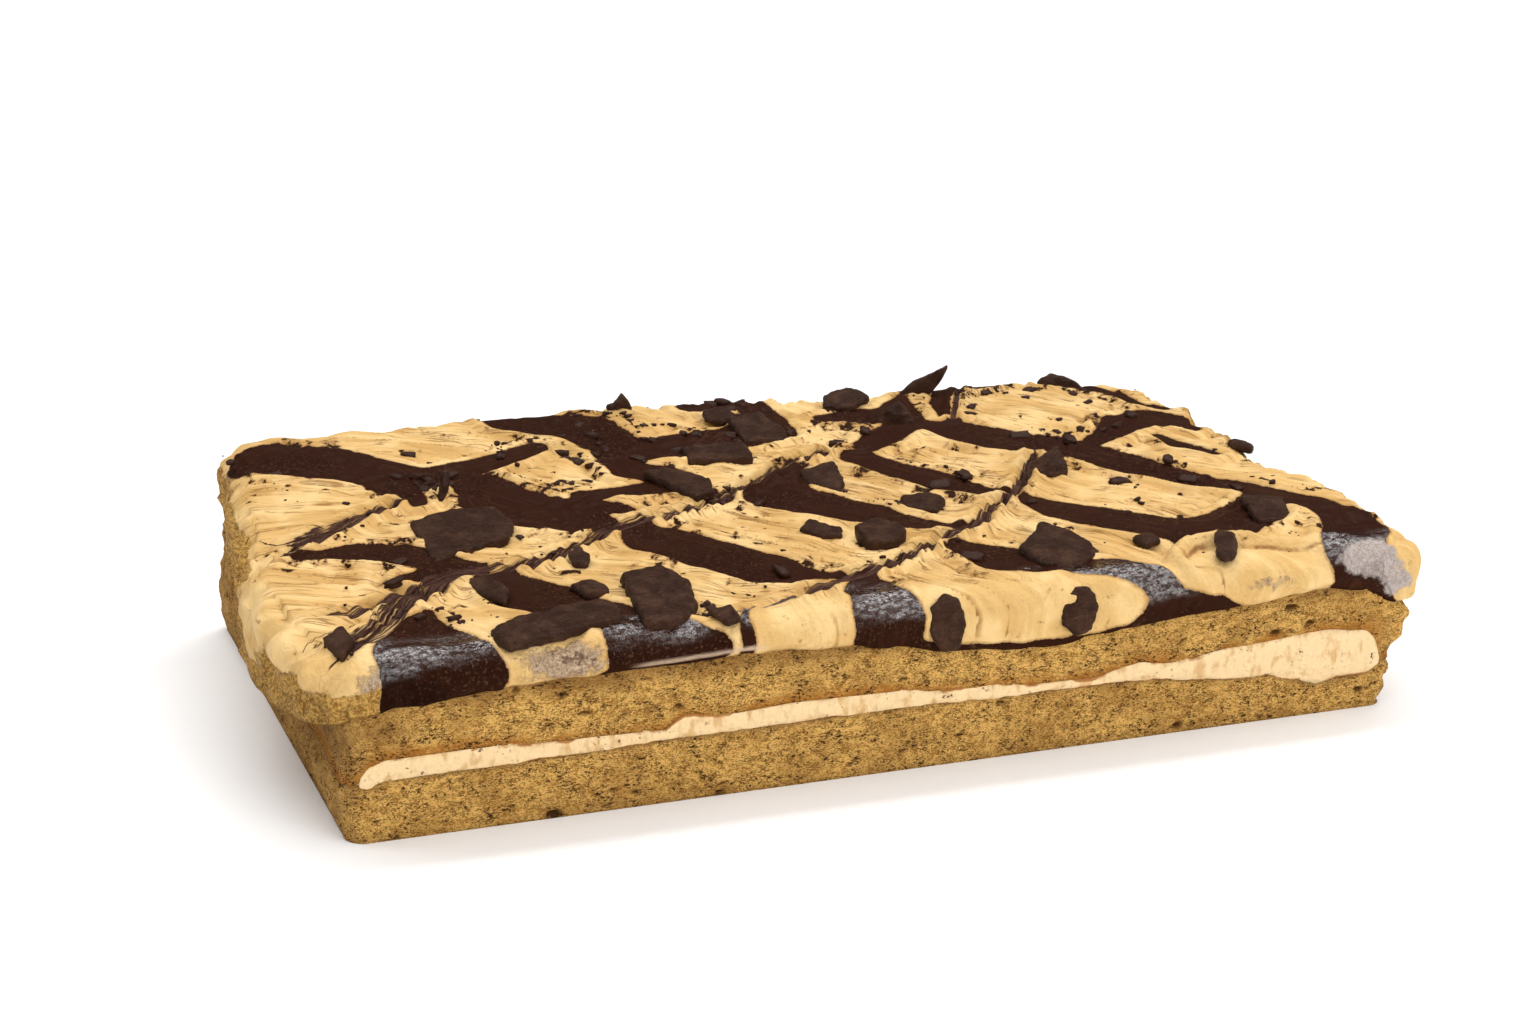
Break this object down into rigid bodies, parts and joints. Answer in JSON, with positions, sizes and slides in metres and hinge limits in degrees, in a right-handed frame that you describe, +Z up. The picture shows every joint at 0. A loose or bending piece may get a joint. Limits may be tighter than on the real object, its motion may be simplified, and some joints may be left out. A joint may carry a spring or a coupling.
{
  "type": "cream cake",
  "caption": "Rectangular layered sponge cake with a cream filling and a marbled mocha cream topping strewn with dark chocolate shards.",
  "frame": {"origin": "centre of the object's box at the level that the cake rests on", "axes": "+X along the long side, +Y from the cut front face to the back, +Z up"},
  "size_m": [0.326, 0.1776, 0.0635],
  "materials": {
    "sponge": "matte, porous crumb",
    "filling_cream": "soft, smooth cream",
    "marbled_topping": "soft mocha cream with glossy dark chocolate bands",
    "dark_chocolate": "satin, with a fine broken grain"
  },
  "bodies": {
    "root": {"base_sponge": "sponge", "cream_filling": "filling_cream", "top_sponge": "sponge", "topping": "marbled_topping", "shard_01": "dark_chocolate", "shard_02": "dark_chocolate", "shard_03": "dark_chocolate", "shard_04": "dark_chocolate", "shard_05": "dark_chocolate", "shard_06": "dark_chocolate", "shard_07": "dark_chocolate", "shard_08": "dark_chocolate", "shard_09": "dark_chocolate", "shard_10": "dark_chocolate", "shard_11": "dark_chocolate", "shard_12": "dark_chocolate", "shard_13": "dark_chocolate", "shard_14": "dark_chocolate", "shard_15": "dark_chocolate", "shard_16": "dark_chocolate", "shard_17": "dark_chocolate", "shard_18": "dark_chocolate", "shard_19": "dark_chocolate", "shard_20": "dark_chocolate", "shard_21": "dark_chocolate", "shard_22": "dark_chocolate", "shard_23": "dark_chocolate", "shard_24": "dark_chocolate", "shard_25": "dark_chocolate", "shard_26": "dark_chocolate", "shard_27": "dark_chocolate", "shard_28": "dark_chocolate", "shard_29": "dark_chocolate", "shard_30": "dark_chocolate"}
  },
  "joints": []
}
